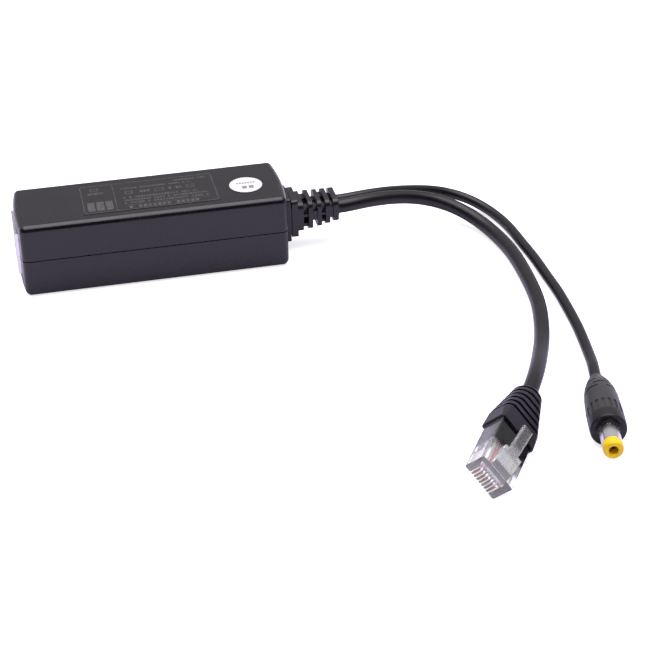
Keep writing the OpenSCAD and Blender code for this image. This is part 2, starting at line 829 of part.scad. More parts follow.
module plug_boot() {
  color([0.055, 0.055, 0.06])
    at_plug()
      difference() {
        union() {
          hull() {
            boot_section(boot_front - 0.1, 0.1, plug_w + 2 * boot_wall, plug_h + 2 * boot_wall, 0.9);
            boot_section(groove_x + 0.6, 0.1, plug_w + 2 * boot_wall, plug_h + 2.2, 2.0);
          }
          boot_outer(groove_depth);
          intersection() {
            boot_outer(0);
            for (i = [0 : boot_grooves])
              translate([groove_x - groove_pitch * i + groove_w / 2, 0, 0])
                rotate([90, 0, 90])
                  linear_extrude(groove_pitch - groove_w) square([30, 30], center = true);
          }
          hull() {
            boot_section(boot_end + 1.5, 0.1, boot_d, boot_d, boot_d / 2 - eps);
            boot_section(boot_end, 0.1, boot_d - 1.8, boot_d - 1.8, boot_d / 2 - 0.9 - eps);
          }
          block(-plug_l - 1, tongue_x, -tongue_w / 2, tongue_w / 2, -tongue_z / 2, tongue_z / 2);
        }
        difference() {
          block(-plug_l, 0, -plug_w / 2, plug_w / 2, -plug_h / 2, plug_h / 2);
          block(-plug_l - 1, tongue_x, -tongue_w / 2, tongue_w / 2, -tongue_z / 2, tongue_z / 2);
        }
        translate([boot_end - 1, 0, 0])
          rotate([0, 90, 0]) cylinder(d = net_d + bore_clear, h = 40);
      }
}

latch_y = latch_root_w / 2;
tab_end = -16.2;
tab_top = plug_h / 2 + latch_rise;
module latch_profile(x0, x1) {
  intersection() {
    polygon([
      [-0.3, plug_h / 2 - 0.3], [-0.6, plug_h / 2 + 0.6], [-1.6, plug_h / 2 + 1.5],
      [-8.0, tab_top - 1.5], [tab_end, tab_top], [tab_end - 0.5, tab_top - 0.5],
      [tab_end, tab_top - 1.1], [-8.0, tab_top - 2.7], [-3.6, plug_h / 2 + 0.35],
      [-2.6, plug_h / 2 - 0.3]
    ]);
    translate([x1, -20]) square([x0 - x1, 40]);
  }
}

channel_z = [0.28, 1.25];
module plug_body() {
  wall_y = plug_w / 2;
  top = plug_h / 2;
  color([0.85, 0.87, 0.88, 0.45])
    at_plug() {
      difference() {
        // flat form with small bevels along its long edges
        rotate([90, 0, 90])
          translate([0, 0, -plug_l])
            linear_extrude(plug_l)
              polygon([
                [-wall_y, -top + 0.3], [-wall_y + 0.3, -top], [wall_y - 0.3, -top],
                [wall_y, -top + 0.3], [wall_y, top - 0.3], [wall_y - 0.3, top],
                [-wall_y + 0.3, top], [-wall_y, top - 0.3]
              ]);
        for (i = [0 : 7])
          block(-6.2, 1, pin_y(i) - contact_t / 2 - 0.06, pin_y(i) + contact_t / 2 + 0.06,
            -top - 1, channel_z[0]);
        block(tongue_x - 1, -1.6, -4.25, 4.25, channel_z[0] - eps, channel_z[1]);
        block(-plug_l - 1, tongue_x, -tongue_w / 2, tongue_w / 2, -tongue_z / 2, tongue_z / 2);
        block(-9.6, -7.0, -3.6, 3.6, -top - 1, -top + 0.9);
      }
      rotate([90, 0, 0])
        translate([0, 0, -latch_y]) linear_extrude(2 * latch_y) latch_profile(0, -6.8);
      rotate([90, 0, 0])
        translate([0, 0, -latch_w / 2]) linear_extrude(latch_w) latch_profile(-6.7, -30);
    }
}

module plug_contacts() {
  color([0.85, 0.68, 0.3])
    at_plug()
      for (i = [0 : 7])
        block(-6.0, -0.25, pin_y(i) - contact_t / 2, pin_y(i) + contact_t / 2,
          -plug_h / 2 + 0.35, channel_z[0]);
}

module plug_wires() {
  color([0.8, 0.3, 0.2])
    at_plug()
      for (i = [0 : 7])
        translate([tongue_x, pin_y(i), channel_z[0] + 0.48])
          rotate([0, 90, 0]) cylinder(d = 0.94, h = -tongue_x - 1.7, $fn = 24);
}

// local frame of the barrel plug: Z along its axis to the tip, handle face at zero
module at_barrel() {
  placed()
    translate(dc_pos)
      rotate([0, 0, dc_yaw])
        rotate([0, 90 - dc_tilt, 0]) children();
}

module dc_handle() {
  r = handle_d / 2;
  k = handle_l;
  color([0.05, 0.05, 0.055])
    at_barrel()
      difference() {
        rotate_extrude()
          polygon([
            [0, collar_l], [collar_r, collar_l], [collar_r, 0], [r - 0.35, 0], [r - 0.1, -0.3], [r, -2.0],
            [r, -5.0], [r - 0.05, -9.0], [r - 0.2, -13.0], [r - 0.35, -16.0], [r - 0.6, -18.5],
            [r - 0.95, -20.5], [r - 1.4, -22.3], [r - 2.0, -24.2], [r - 2.6, -25.7],
            [r - 3.1, -k + 0.6], [dc_d / 2 + 0.3, -k], [0, -k]
          ]);
        for (i = [0 : grip_grooves - 1])
          rotate([0, 0, 360 * (i + 0.5) / grip_grooves])
            translate([r - 0.35, -0.4, -8.8]) cube([2, 0.8, 4.6]);
        // rings of slots that let the tail of the handle flex
        for (s = [[-16.6, 0], [-18.9, 45], [-21.2, 0]])
          difference() {
            translate([0, 0, s[0] - 0.3])
              difference() {
                cylinder(r = r + 1, h = 0.6);
                translate([0, 0, -1]) cylinder(r = r + s[0] * 0.085 + 0.1, h = 3);
              }
            for (a = [0, 90])
              rotate([0, 0, a + s[1]]) translate([0, 0, s[0]]) cube([2.2, 30, 3], center = true);
          }
        translate([0, 0, sleeve_back]) cylinder(d = flange_d, h = 20);
        translate([0, 0, -k - 1]) cylinder(d = dc_d + bore_clear, h = k + 1 + jacket_back);
      }
}

// the sleeve is a little thicker where it is held in the handle
module dc_sleeve() {
  r = barrel_d / 2;
  color([0.8, 0.8, 0.78])
    at_barrel()
      rotate_extrude()
        polygon([
          [r - sleeve_t, sleeve_back], [flange_d / 2, sleeve_back], [flange_d / 2, collar_l],
          [r, collar_l], [r, barrel_l - nose_l], [r - sleeve_t, barrel_l - nose_l]
        ]);
}

module dc_insulator() {
  r = barrel_d / 2;
  rb = barrel_bore / 2;
  ri = rb + bore_wall;
  z0 = barrel_l - nose_l;
  z1 = barrel_l - tip_l;
  color([0.95, 0.72, 0.06])
    at_barrel()
      rotate_extrude()
        polygon([
          [ri, sleeve_back], [r - sleeve_t, sleeve_back], [r - sleeve_t, z0], [r, z0],
          [r, barrel_l - 0.9], [r - 0.1, barrel_l - 0.5], [r - 0.35, barrel_l - 0.2],
          [r - 0.7, barrel_l], [rb + 0.25, barrel_l], [rb, barrel_l - 0.25], [rb, z1], [ri, z1]
        ]);
}

module dc_inner_contact() {
  rb = barrel_bore / 2;
  ro = rb + bore_wall;
  z1 = barrel_l - tip_l;
  color([0.75, 0.55, 0.25])
    at_barrel()
      rotate_extrude()
        polygon([
          [0, sleeve_back], [ro, sleeve_back], [ro, z1], [rb, z1],
          [rb, sleeve_back + 3], [0, sleeve_back + 2.2]
        ]);
}

bottom_shell();
top_shell();
rating_label();
inspection_sticker();
circuit_board();
jack_shield();
jack_insulator();
jack_contacts();
lan_transformer();
bridge_rectifiers();
controller_chip();
switching_transistor();
input_capacitor();
input_choke();
transformer_core();
transformer_bobbin();
transformer_winding();
optocoupler();
output_diode();
output_capacitors();
output_choke();
chip_capacitors();
chip_resistors();
data_wires();
power_wires();
strain_relief();
ethernet_lead();
dc_lead();
plug_boot();
plug_body();
plug_contacts();
plug_wires();
dc_handle();
dc_sleeve();
dc_insulator();
dc_inner_contact();
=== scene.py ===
import math

import bmesh
import bpy
from mathutils import Euler, Matrix, Vector


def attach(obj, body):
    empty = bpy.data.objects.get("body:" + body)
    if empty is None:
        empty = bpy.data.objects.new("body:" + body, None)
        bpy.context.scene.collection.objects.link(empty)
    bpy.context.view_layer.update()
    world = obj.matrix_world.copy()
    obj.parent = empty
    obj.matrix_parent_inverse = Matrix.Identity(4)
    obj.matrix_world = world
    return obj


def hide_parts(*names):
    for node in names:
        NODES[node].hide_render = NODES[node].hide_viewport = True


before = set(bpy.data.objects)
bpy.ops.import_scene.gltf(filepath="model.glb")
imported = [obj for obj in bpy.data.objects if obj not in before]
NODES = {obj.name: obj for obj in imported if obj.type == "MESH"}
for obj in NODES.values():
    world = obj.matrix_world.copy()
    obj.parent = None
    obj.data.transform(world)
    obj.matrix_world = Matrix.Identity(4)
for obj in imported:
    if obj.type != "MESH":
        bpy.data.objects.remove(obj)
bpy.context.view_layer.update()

MM = 0.001
SHIFT = 0.3  # the housing stands back by half of the jack's overhang

# camera, solved from the photograph: its place in millimetres and its turns in degrees
EYE = Vector((-48.6, -501.59, 278.87))
EYE_TURNS = (58.8353, 1.0874, -12.1874)
FOCAL_PIXELS, FRAME_PIXELS = 1818.7, 645.0
cam_data = bpy.data.cameras.new("camera")
cam_data.sensor_width = 36.0
cam_data.lens = cam_data.sensor_width * FOCAL_PIXELS / FRAME_PIXELS
cam_data.clip_start = 0.01
cam_data.clip_end = 20.0
camera = bpy.data.objects.new("camera", cam_data)
bpy.context.scene.collection.objects.link(camera)
turn = Euler([math.radians(angle) for angle in EYE_TURNS]).to_matrix().to_4x4()
camera.matrix_world = Matrix.Translation((EYE + Vector((SHIFT, 0, 0))) * MM) @ turn
bpy.context.scene.camera = camera

# routes of the two leads
# place of each plug in millimetres, its yaw and tilt, and the network plug's roll, in degrees
PLUG_POS, PLUG_YAW, PLUG_TILT, PLUG_ROLL = Vector((66.1, -144.9, 6.8)), -122.5, -1.3, 49.3
DC_POS, DC_YAW, DC_TILT = Vector((103.3, -130.6, 5.6)), -102.7, 3.2
LEAD_Z = 12.3
NET_Y, NET_DIAMETER = -1.2, 4.5
DC_Y, DC_DIAMETER = 3.5, 3.2
STEPS, SIDES = 8, 24  # rings from one guide point to the next, and corners of a ring


def heading(yaw, tilt):
    """The direction in which a plug points."""
    yaw, tilt = math.radians(yaw), math.radians(tilt)
    level = math.cos(tilt)
    return Vector((math.cos(yaw) * level, math.sin(yaw) * level, math.sin(tilt)))


HEAD_X = (27.8, 35.4, 43.0, 50.5, 57.5, 62.0)  # level, in the housing and the strain relief
NET_FREE = [
    (66.0, -0.5, 12.5), (75.5, 2.5, 11.6), (86.5, 5.5, 9.1), (97.0, 4.0, 6.1),
    (104.5, -4.0, 3.4), (108.0, -14.0, 2.3), (109.5, -25.0, 2.3), (109.5, -35.5, 2.3),
    (109.0, -46.0, 2.3), (108.0, -57.0, 2.3), (105.5, -67.5, 2.3), (102.5, -77.5, 2.3),
    (98.5, -87.5, 3.8), (94.5, -97.5, 6.3), (91.0, -105.0, 7.6),
]
DC_FREE = [
    (67.0, 4.0, 12.5), (77.0, 6.7, 11.6), (86.5, 10.5, 9.0), (96.5, 14.0, 5.9),
    (106.5, 11.0, 3.0), (112.0, 1.0, 1.7), (114.0, -9.5, 1.7), (114.5, -20.0, 1.7),
    (115.5, -30.5, 1.7), (115.5, -41.0, 1.7), (116.0, -51.5, 1.7), (115.5, -62.0, 1.7),
    (115.0, -73.0, 1.7), (113.5, -84.5, 1.7), (112.0, -93.0, 2.8), (111.0, -97.0, 3.6),
]
plug_dir = heading(PLUG_YAW, PLUG_TILT)
dc_dir = heading(DC_YAW, DC_TILT)


def route(y, free, pos, ahead, tail):
    """Guide points of a lead, in millimetres."""
    points = [Vector((x, y, LEAD_Z)) for x in HEAD_X]
    points += [Vector(p) for p in free]
    points += [pos + ahead * x for x in tail]
    return [p + Vector((SHIFT, 0, 0)) for p in points]


def spline(guide, steps):
    """Points along a uniform cubic B-spline, with so many steps to a span, as in the part's source."""
    out = []
    last = len(guide) - 4
    for i in range(last + 1):
        one, two, three, four = guide[i:i + 4]
        for k in range(steps + (i == last)):
            t = k / steps
            out.append(
                one * (1 - t) ** 3 / 6
                + two * (3 * t**3 - 6 * t**2 + 4) / 6
                + three * (-3 * t**3 + 3 * t**2 + 3 * t + 1) / 6
                + four * t**3 / 6
            )
    return out


def lead_tube(name, points, diameter):
    """A round tube along the points, closed at both ends, its rings turned with the route."""
    mesh = bmesh.new()
    rings = []
    side = Vector((0, 1, 0))
    for k, p in enumerate(points):
        ahead = (points[min(k + 1, len(points) - 1)] - points[max(k - 1, 0)]).normalized()
        side = (side - ahead * side.dot(ahead)).normalized()
        other = ahead.cross(side)
        ring = []
        for j in range(SIDES):
            angle = 2 * math.pi * j / SIDES
            away = side * math.cos(angle) + other * math.sin(angle)
            ring.append(mesh.verts.new((p + away * diameter / 2) * MM))
        rings.append(ring)
    for one, two in zip(rings, rings[1:]):
        for j in range(SIDES):
            face = mesh.faces.new((one[j], one[(j + 1) % SIDES], two[(j + 1) % SIDES], two[j]))
            face.smooth = True
    mesh.faces.new(list(reversed(rings[0])))
    mesh.faces.new(rings[-1])
    data = bpy.data.meshes.new(name)
    mesh.to_mesh(data)
    mesh.free()
    obj = bpy.data.objects.new(name, data)
    bpy.context.scene.collection.objects.link(obj)
    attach(obj, "root")
    return obj


net_line = spline(route(NET_Y, NET_FREE, PLUG_POS, plug_dir, (-42, -34, -26, -18, -10.5, -3)), STEPS)
dc_line = spline(route(DC_Y, DC_FREE, DC_POS, dc_dir, (-31, -24, -17, -10, -3)), STEPS)
net_lead = lead_tube("network_lead", net_line, NET_DIAMETER)
dc_lead = lead_tube("barrel_lead", dc_line, DC_DIAMETER)
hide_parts("ethernet_lead")
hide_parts("dc_lead")


# shader helpers
class Shader:
    """A small hand for laying out a node tree."""

    def __init__(self, tree):
        self.tree = tree

    def add(self, kind, **settings):
        node = self.tree.nodes.new(kind)
        for key, value in settings.items():
            setattr(node, key, value)
        return node

    def put(self, socket, value):
        if isinstance(value, bpy.types.NodeSocket):
            self.tree.links.new(value, socket)
        elif isinstance(value, (tuple, list)) and len(value) == 3 and socket.type == "RGBA":
            socket.default_value = (*value, 1)
        else:
            socket.default_value = value

    def math(self, op, a, b=None, clamp=False):
        node = self.add("ShaderNodeMath", operation=op, use_clamp=clamp)
        self.put(node.inputs[0], a)
        if b is not None:
            self.put(node.inputs[1], b)
        return node.outputs[0]

    def vmath(self, op, a, b=None, scale=None):
        node = self.add("ShaderNodeVectorMath", operation=op)
        self.put(node.inputs[0], a)
        if b is not None:
            self.put(node.inputs[1], b)
        if scale is not None:
            self.put(node.inputs[3], scale)
        return node.outputs[1] if op in ("DOT_PRODUCT", "LENGTH", "DISTANCE") else node.outputs[0]

    def mix(self, factor, a, b):
        node = self.add("ShaderNodeMix", data_type="RGBA")
        self.put(node.inputs[0], factor)
        self.put(node.inputs[6], a)
        self.put(node.inputs[7], b)
        return node.outputs[2]

    def blend(self, factor, a, b):
        node = self.add("ShaderNodeMix", data_type="FLOAT")
        self.put(node.inputs[0], factor)
        self.put(node.inputs[2], a)
        self.put(node.inputs[3], b)
        return node.outputs[0]

    def remap(self, value, a, b, c=0.0, d=1.0, smooth=False):
        node = self.add("ShaderNodeMapRange", interpolation_type="SMOOTHSTEP" if smooth else "LINEAR")
        for socket, v in zip(node.inputs, (value, a, b, c, d)):
            self.put(socket, v)
        return node.outputs[0]

    def noise(self, vector, scale, detail=2.0, rough=0.5):
        node = self.add("ShaderNodeTexNoise")
        self.put(node.inputs["Vector"], vector)
        self.put(node.inputs["Scale"], scale)
        self.put(node.inputs["Detail"], detail)
        self.put(node.inputs["Roughness"], rough)
        return node.outputs[0]

    def bump(self, height, strength, distance, normal):
        node = self.add("ShaderNodeBump")
        self.put(node.inputs["Height"], height)
        self.put(node.inputs["Strength"], strength)
        self.put(node.inputs["Distance"], distance)
        self.put(node.inputs["Normal"], normal)
        return node.outputs[0]

    def place(self):
        return self.add("ShaderNodeTexCoord").outputs["Object"]


def group(name, inputs, outputs):
    """A shader node group with named inputs and outputs: (tree, shader, input sockets, output sockets)."""
    tree = bpy.data.node_groups.new(name, "ShaderNodeTree")
    for label, kind, value in inputs:
        s = tree.interface.new_socket(label, in_out="INPUT", socket_type=kind)
        if value is not None:
            s.default_value = value
    for label, kind in outputs:
        tree.interface.new_socket(label, in_out="OUTPUT", socket_type=kind)
    sh = Shader(tree)
    gi = sh.add("NodeGroupInput")
    go = sh.add("NodeGroupOutput")
    return tree, sh, gi.outputs, go.inputs


FLOAT, VECTOR = "NodeSocketFloat", "NodeSocketVector"


def make_grain():
    """Fine moulded texture: a height for the bump and a slight change in roughness."""
    tree, sh, ins, outs = group(
        "moulded_grain",
        [("Place", VECTOR, None), ("Grain Scale", FLOAT, 4000.0),
         ("Roughness", FLOAT, 0.4), ("Spread", FLOAT, 0.08)],
        [("Height", FLOAT), ("Roughness", FLOAT), ("Cloud", FLOAT)],
    )
    fine = sh.noise(ins["Place"], ins["Grain Scale"], 3.0, 0.6)
    cloud = sh.noise(ins["Place"], 90.0, 4.0, 0.55)
    spread = sh.math("MULTIPLY", sh.math("SUBTRACT", cloud, 0.5), ins["Spread"])
    sh.put(outs["Height"], fine)
    sh.put(outs["Roughness"], sh.math("ADD", ins["Roughness"], spread, clamp=True))
    sh.put(outs["Cloud"], cloud)
    return tree


def make_dust():
    """A mask of sparse round specks."""
    tree, sh, ins, outs = group(
        "dust_specks",
        [("Place", VECTOR, None), ("Scale", FLOAT, 160.0), ("Amount", FLOAT, 0.1)],
        [("Mask", FLOAT)],
    )
    cells = sh.add("ShaderNodeTexVoronoi", feature="F1")
    sh.put(cells.inputs["Vector"], ins["Place"])
    sh.put(cells.inputs["Scale"], ins["Scale"])
    speck = sh.math("LESS_THAN", cells.outputs["Distance"], ins["Amount"])
    keep = sh.add("ShaderNodeSeparateColor")
    sh.put(keep.inputs[0], cells.outputs["Color"])
    sh.put(outs["Mask"], sh.math("MULTIPLY", speck, sh.math("GREATER_THAN", keep.outputs[0], 0.86)))
    return tree


def make_wear():
    """A mask along convex edges, from the angle between the true and the rounded normal."""
    tree, sh, ins, outs = group(
        "edge_wear",
        [("Place", VECTOR, None), ("Width", FLOAT, 0.0003), ("Breakup", FLOAT, 600.0)],
        [("Mask", FLOAT), ("Normal", VECTOR)],
    )
    bevel = sh.add("ShaderNodeBevel", samples=6)
    sh.put(bevel.inputs["Radius"], ins["Width"])
    normal = sh.add("ShaderNodeNewGeometry").outputs["Normal"]
    turned = sh.math("SUBTRACT", 1.0, sh.vmath("DOT_PRODUCT", bevel.outputs[0], normal))
    patchy = sh.noise(ins["Place"], ins["Breakup"], 3.0, 0.6)
    mask = sh.remap(sh.math("MULTIPLY", turned, sh.remap(patchy, 0.35, 0.65)), 0.02, 0.2)
    sh.put(outs["Mask"], mask)
    sh.put(outs["Normal"], bevel.outputs[0])
    return tree


def make_box():
    """Distance in X and Y from the outline of a rounded rectangle, negative inside, in millimetres."""
    tree, sh, ins, outs = group(
        "rounded_box",
        [("Place", VECTOR, None), ("X", FLOAT, 0.0), ("Y", FLOAT, 0.0),
         ("Half X", FLOAT, 1.0), ("Half Y", FLOAT, 1.0), ("Corner", FLOAT, 0.2)],
        [("Distance", FLOAT)],
    )
    parts = sh.add("ShaderNodeSeparateXYZ")
    sh.put(parts.inputs[0], ins["Place"])
    away = []
    for axis, mid, half in ((0, "X", "Half X"), (1, "Y", "Half Y")):
        mm = sh.math("MULTIPLY", parts.outputs[axis], 1000.0)
        off = sh.math("ABSOLUTE", sh.math("SUBTRACT", mm, ins[mid]))
        away.append(sh.math("ADD", sh.math("SUBTRACT", off, ins[half]), ins["Corner"]))
    outside = sh.math(
        "SQRT",
        sh.math("ADD", *[sh.math("POWER", sh.math("MAXIMUM", v, 0.0), 2.0) for v in away]),
    )
    inside = sh.math("MINIMUM", sh.math("MAXIMUM", away[0], away[1]), 0.0)
    sh.put(outs["Distance"], sh.math("SUBTRACT", sh.math("ADD", outside, inside), ins["Corner"]))
    return tree


def make_row():
    """A row of short bars, some left out, between two stations along X, in millimetres."""
    tree, sh, ins, outs = group(
        "print_row",
        [("Place", VECTOR, None), ("Start", FLOAT, -5.0), ("End", FLOAT, 5.0), ("Y", FLOAT, 0.0),
         ("Height", FLOAT, 1.0), ("Cell", FLOAT, 0.8), ("Seed", FLOAT, 0.0)],
        [("Mask", FLOAT)],
    )
    parts = sh.add("ShaderNodeSeparateXYZ")
    sh.put(parts.inputs[0], ins["Place"])
    x = sh.math("MULTIPLY", parts.outputs[0], 1000.0)
    y = sh.math("MULTIPLY", parts.outputs[1], 1000.0)
    step = sh.math("DIVIDE", sh.math("SUBTRACT", x, ins["Start"]), ins["Cell"])
    cell = sh.math("FLOOR", step)
    chance = sh.add("ShaderNodeTexWhiteNoise", noise_dimensions="1D")
    sh.put(chance.inputs["W"], sh.math("ADD", cell, ins["Seed"]))
    kept = sh.math("GREATER_THAN", chance.outputs[0], 0.16)
    narrow = sh.math("GREATER_THAN", sh.math("FRACT", step), 0.3)
    off = sh.math("ABSOLUTE", sh.math("SUBTRACT", y, ins["Y"]))
    row = sh.math("LESS_THAN", off, sh.math("MULTIPLY", ins["Height"], 0.5))
    begun = sh.math("GREATER_THAN", x, ins["Start"])
    span = sh.math("MULTIPLY", begun, sh.math("LESS_THAN", x, ins["End"]))
    mask = sh.math("MULTIPLY", sh.math("MULTIPLY", kept, narrow), sh.math("MULTIPLY", row, span))
    sh.put(outs["Mask"], mask)
    return tree


GRAIN, DUST, WEAR, BOX, ROW = make_grain(), make_dust(), make_wear(), make_box(), make_row()


def material(name):
    """A new material with a Principled BSDF: (material, shader, BSDF)."""
    mat = bpy.data.materials.new(name)
    mat.use_nodes = True
    mat.node_tree.nodes.clear()
    sh = Shader(mat.node_tree)
    out = sh.add("ShaderNodeOutputMaterial")
    bsdf = sh.add("ShaderNodeBsdfPrincipled")
    sh.put(out.inputs["Surface"], bsdf.outputs[0])
    return mat, sh, bsdf


def use(sh, tree, **values):
    """Place a node group with these inputs and give its outputs."""
    node = sh.add("ShaderNodeGroup", node_tree=tree)
    for key, value in values.items():
        sh.put(node.inputs[key.replace("_", " ")], value)
    return node.outputs


def any_of(sh, masks):
    """One mask that is set where any of these is."""
    total = masks[0]
    for mask in masks[1:]:
        total = sh.math("MAXIMUM", total, mask)
    return total


GRAIN_DEPTH, SCRATCH_DEPTH = 0.00002, 0.00001
PLASTIC_EDGE, METAL_EDGE = 0.0002, 0.0001
DUST_COLOR, LEG_METAL = (0.35, 0.34, 0.33), (0.6, 0.6, 0.62)


def plastic(name, color, rough, grain=4000.0, bump=0.15, spread=0.08, specular=0.5, tint=0.12, dust=0.0,
            worn=0.02, marks=None, legs=None):
    """Moulded plastic with grain, uneven roughness, softened edges and a little dust.

    Where legs is a height in millimetres, what lies below it is bright metal.
    """
    mat, sh, bsdf = material(name)
    place = sh.place()
    surface = use(sh, GRAIN, Place=place, Grain_Scale=grain, Roughness=rough, Spread=spread)
    edge = use(sh, WEAR, Place=place, Width=PLASTIC_EDGE)
    light = tuple(min(1, c * (1 + tint)) for c in color)
    dark = tuple(c * (1 - tint) for c in color)
    rubbed = tuple(min(1, c * 1.3 + worn) for c in color)
    base = sh.mix(surface["Cloud"], dark, light)
    base = sh.mix(sh.math("MULTIPLY", edge["Mask"], 0.5), base, rubbed)
    if dust:
        specks = use(sh, DUST, Place=place, Scale=220.0, Amount=dust)
        base = sh.mix(sh.math("MULTIPLY", specks["Mask"], 0.5), base, DUST_COLOR)
    if marks:
        base = marks(sh, place, base)
    if legs:
        parts = sh.add("ShaderNodeSeparateXYZ")
        sh.put(parts.inputs[0], place)
        metal_part = sh.math("LESS_THAN", parts.outputs[2], legs * MM)
        base = sh.mix(metal_part, base, LEG_METAL)
        sh.put(bsdf.inputs["Metallic"], metal_part)
    sh.put(bsdf.inputs["Base Color"], base)
    sh.put(bsdf.inputs["Roughness"], surface["Roughness"])
    bsdf.inputs["Specular IOR Level"].default_value = specular
    sh.put(bsdf.inputs["Normal"], sh.bump(surface["Height"], bump, GRAIN_DEPTH, edge["Normal"]))
    return mat


FLANGE_FROM = 2.76 * MM  # just outside the barrel's own radius
FLANGE_COLOR = (0.012, 0.012, 0.013)


def metal(name, color, rough, held=False):
    """Plated metal; a held flange, further out than the sleeve itself, is dark."""
    mat, sh, bsdf = material(name)
    place = sh.place()
    surface = use(sh, GRAIN, Place=place, Grain_Scale=2500.0, Roughness=rough, Spread=0.12)
    edge = use(sh, WEAR, Place=place, Width=METAL_EDGE)
    dark = tuple(c * 0.85 for c in color)
    base = sh.mix(surface["Cloud"], dark, color)
    bsdf.inputs["Metallic"].default_value = 1.0
    if held:
        away = barrel_place(sh, place)[1]
        base = sh.mix(sh.math("GREATER_THAN", away, FLANGE_FROM), base, FLANGE_COLOR)
    sh.put(bsdf.inputs["Base Color"], base)
    sh.put(bsdf.inputs["Roughness"], surface["Roughness"])
    sh.put(bsdf.inputs["Normal"], sh.bump(surface["Height"], 0.08, SCRATCH_DEPTH, edge["Normal"]))
    return mat


def dress(mat, *pieces):
    """Give one material to nodes, by name, or to pieces made here."""
    for piece in pieces:
        obj = NODES[piece] if isinstance(piece, str) else piece
        obj.data.materials.clear()
        obj.data.materials.append(mat)


LABEL_INK = (0.088, 0.084, 0.082)
LABEL_ROWS = [  # start, end, y, height and cell in millimetres, seed
    (-7.0, 16.6, -7.7, 1.5, 1.45, 3.0),
    (-8.0, 18.8, -4.9, 0.95, 0.9, 11.0),
    (-8.0, 18.0, -3.1, 0.95, 0.85, 23.0),
    (-8.0, 15.0, -1.3, 0.95, 0.9, 37.0),
    (-2.6, 0.8, 2.1, 1.4, 1.1, 41.0),
    (6.4, 10.6, 2.1, 1.4, 1.1, 59.0),
    (-9.0, 13.8, 5.0, 0.8, 0.75, 71.0),
    (8.5, 18.8, 7.0, 0.8, 0.85, 83.0),
]


def print_row(sh, place, start, end, y, height, cell, seed):
    """The mask of one row of bars."""
    return use(sh, ROW, Place=place, Start=start, End=end, Y=y, Height=height, Cell=cell, Seed=seed)[0]


def label_marks(sh, place, base):
    """A pale printed frame, a divider and rows of plain bars, all generic."""
    def box(x, y, hx, hy, corner):
        return use(sh, BOX, Place=place, X=x + SHIFT, Y=y, Half_X=hx, Half_Y=hy, Corner=corner)[0]

    def solid(*v):
        return sh.math("LESS_THAN", box(*v), 0.0)

    def outline(width, *v):
        return sh.math("LESS_THAN", sh.math("ABSOLUTE", sh.math("ADD", box(*v), width / 2)), width / 2)

    masks = [outline(0.22, -0.1, -0.15, 20.6, 9.1, 1.1), solid(-10.6, -0.3, 0.1, 8.6, 0.02)]
    masks += [solid(x, -5.0, hx, 2.9, 0.5) for x, hx in ((-18.3, 1.1), (-15.5, 1.2), (-12.7, 1.1))]
    masks += [solid(-16.2, 3.9, 2.4, 0.2, 0.02)]
    masks += [solid(x, 3.1, 0.6, 0.2, 0.02) for x in (-18.0, -16.2, -14.4)]
    masks += [outline(0.3, -16.4, 6.2, 1.3, 0.9, 0.3), solid(5.0, -6.3, 13.0, 0.09, 0.02)]
    masks += [outline(0.3, x, 2.1, hx, 1.0, 0.4) for x, hx in ((-6.0, 1.2), (3.4, 1.5), (13.2, 1.3))]
    masks += [print_row(sh, place, *row) for row in LABEL_ROWS]
    patchy = sh.remap(sh.noise(place, 900.0, 2.0), 0.3, 0.6, 0.45, 1.0)
    return sh.mix(sh.math("MULTIPLY", any_of(sh, masks), patchy), base, LABEL_INK)


STICKER_CENTRE = (0.0303, -0.0017, 0.0238)
RING_RADIUS, RING_HALF, RIM_FROM = 0.00475, 0.00007, 0.00506
STICKER_INK, RING_INK, RIM_COLOR = (0.12, 0.09, 0.12), (0.5, 0.3, 0.36), (0.12, 0.1, 0.12)


def sticker_marks(sh, place, base):
    """A thin ring near the rim, with a few plain bars."""
    away = sh.vmath("LENGTH", sh.vmath("SUBTRACT", place, STICKER_CENTRE))
    ring = sh.math("LESS_THAN", sh.math("ABSOLUTE", sh.math("SUBTRACT", away, RING_RADIUS)), RING_HALF)
    rim = sh.math("GREATER_THAN", away, RIM_FROM)
    rows = [
        print_row(sh, place, 27.3, 33.3, -0.4, 0.9, 0.86, 5.0),
        print_row(sh, place, 28.3, 32.5, -3.3, 1.9, 2.1, 2.0),
    ]
    base = sh.mix(sh.math("MULTIPLY", any_of(sh, rows), 0.8), base, STICKER_INK)
    base = sh.mix(sh.math("MULTIPLY", ring, 0.3), base, RING_INK)
    return sh.mix(sh.math("MULTIPLY", rim, 0.8), base, RIM_COLOR)


def barrel_place(sh, place):
    """Distance along the barrel's axis from its reference point, and distance from the axis, in metres."""
    local = sh.vmath("SUBTRACT", place, tuple((DC_POS + Vector((SHIFT, 0, 0))) * MM))
    along = sh.vmath("DOT_PRODUCT", local, tuple(dc_dir))
    foot = sh.vmath("SCALE", tuple(dc_dir), scale=along)
    return along, sh.vmath("DISTANCE", local, foot)


# where the painted shade on the handle's front collar fades in along the barrel, and its colour
COLLAR_FADE = -4.6 * MM, -3.4 * MM
COLLAR_PAINTED_SHADE = (0.002, 0.0018, 0.0024)


def collar_painted_shade(sh, place, base):
    """Painted shade: the front collar of the handle is painted darker than its grip."""
    along = barrel_place(sh, place)[0]
    return sh.mix(sh.remap(along, *COLLAR_FADE, smooth=True), base, COLLAR_PAINTED_SHADE)


